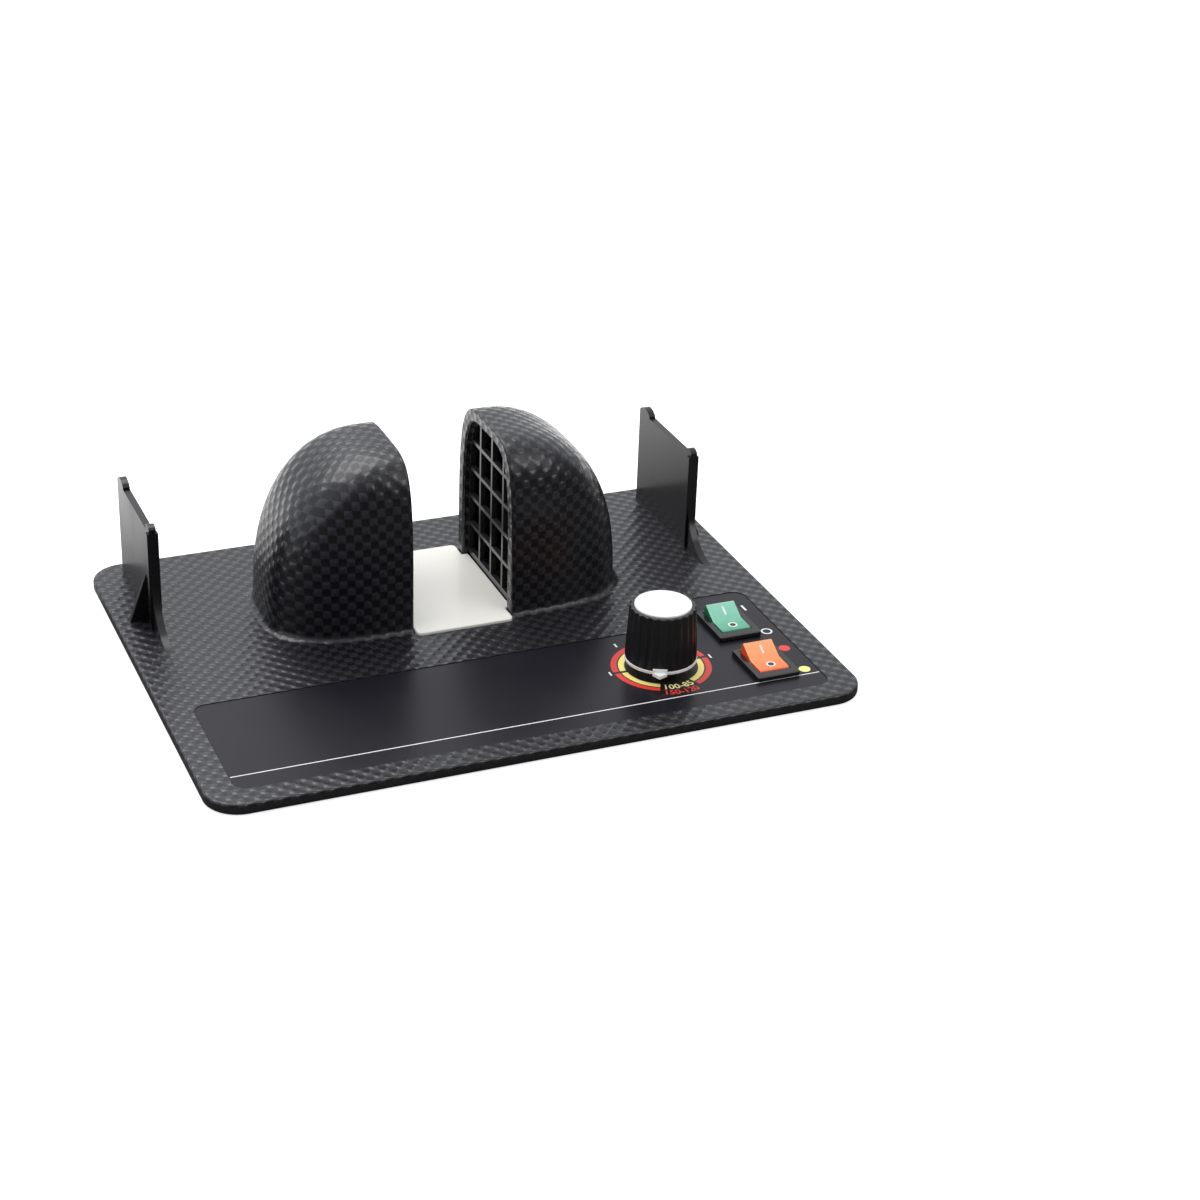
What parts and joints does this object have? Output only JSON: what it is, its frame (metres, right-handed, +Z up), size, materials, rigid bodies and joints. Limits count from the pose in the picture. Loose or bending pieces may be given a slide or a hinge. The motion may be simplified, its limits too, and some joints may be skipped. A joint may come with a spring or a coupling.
{
  "type": "eyeglass frame warmer",
  "caption": "Counter-built eyeglass frame warmer: flat deck with two facing warm-air hoods, temple rests, heat knob and rocker switches over a fan and heater housing.",
  "frame": {"origin": "middle of the overall box, on the flat base of the lower housing", "axes": "+X to the operator's right along the deck's width, +Y away from the operator, +Z up"},
  "size_m": [0.23, 0.176, 0.1354],
  "materials": {
    "moulded_cover": "satin moulded ABS with a fine woven relief",
    "ivory_panel": "smooth ivory moulding",
    "grille_black": "black moulding",
    "rest_grey": "satin dark grey moulding",
    "printed_label": "printed polycarbonate overlay",
    "knob_black": "satin black moulding",
    "knob_white": "white moulding",
    "zinc_plate": "zinc plated",
    "regulator_case": "dark phenolic moulding",
    "switch_black": "black nylon moulding",
    "green_lens": "translucent green polycarbonate",
    "orange_lens": "translucent orange polycarbonate",
    "tinned_brass": "tinned",
    "galvanised_sheet": "galvanised sheet",
    "mica_board": "pressed mica",
    "heater_aluminium": "bare fins",
    "fan_black": "glass filled nylon",
    "copper_winding": "enamelled winding",
    "board_green": "solder resist on glass epoxy",
    "capacitor_film": "dipped film",
    "relay_blue": "blue moulded case",
    "terminal_green": "moulded terminal block",
    "housing_black": "spark eroded black ABS",
    "bushing_rubber": "matt rubber"
  },
  "bodies": {
    "casing": {"top_cover": "moulded_cover", "floor_panel": "ivory_panel", "left_grille": "grille_black", "right_grille": "grille_black", "left_temple_rest": "rest_grey", "right_temple_rest": "rest_grey", "control_label": "printed_label", "regulator_body": "regulator_case", "regulator_nut": "zinc_plate", "power_switch_body": "switch_black", "power_switch_terminals": "tinned_brass", "range_switch_body": "switch_black", "range_switch_terminals": "tinned_brass", "left_air_duct": "galvanised_sheet", "right_air_duct": "galvanised_sheet", "duct_screws": "zinc_plate", "left_heater_frame": "mica_board", "right_heater_frame": "mica_board", "left_heater_fins": "heater_aluminium", "right_heater_fins": "heater_aluminium", "left_thermal_cutout": "zinc_plate", "right_thermal_cutout": "zinc_plate", "left_fan_frame": "fan_black", "right_fan_frame": "fan_black", "left_fan_motor": "copper_winding", "right_fan_motor": "copper_winding", "fan_screws": "zinc_plate", "control_board": "board_green", "heat_sink": "heater_aluminium", "board_capacitor": "capacitor_film", "board_relay": "relay_blue", "terminal_block": "terminal_green", "board_screws": "zinc_plate", "lower_housing": "housing_black", "housing_base": "housing_black", "housing_screws": "zinc_plate", "cord_bushing": "bushing_rubber"},
    "knob": {"knob_body": "knob_black", "knob_cap": "knob_white", "knob_pointer_ring": "knob_white", "regulator_shaft": "zinc_plate"},
    "power_rocker": {"power_rocker": "green_lens"},
    "range_rocker": {"range_rocker": "orange_lens"},
    "left_impeller": {"left_impeller": "fan_black"},
    "right_impeller": {"right_impeller": "fan_black"}
  },
  "joints": [
    {"name": "knob_turn", "type": "hinge", "parent": "casing", "child": "knob", "pos_m": [0.0537, -0.0488, 0.08], "axis": [0, 0, -1], "range_deg": [0, 310]},
    {"name": "power_rocker_tilt", "type": "hinge", "parent": "casing", "child": "power_rocker", "pos_m": [0.0888, -0.0285, 0.0727], "axis": [-1, 0, 0], "range_deg": [0, 28]},
    {"name": "range_rocker_tilt", "type": "hinge", "parent": "casing", "child": "range_rocker", "pos_m": [0.0888, -0.0591, 0.0727], "axis": [-1, 0, 0], "range_deg": [0, 28]},
    {"name": "left_impeller_spin", "type": "hinge", "parent": "casing", "child": "left_impeller", "pos_m": [-0.0418, 0.0302, 0.038], "axis": [0, 0, 1], "continuous": true},
    {"name": "right_impeller_spin", "type": "hinge", "parent": "casing", "child": "right_impeller", "pos_m": [0.0418, 0.0302, 0.038], "axis": [0, 0, 1], "continuous": true}
  ]
}
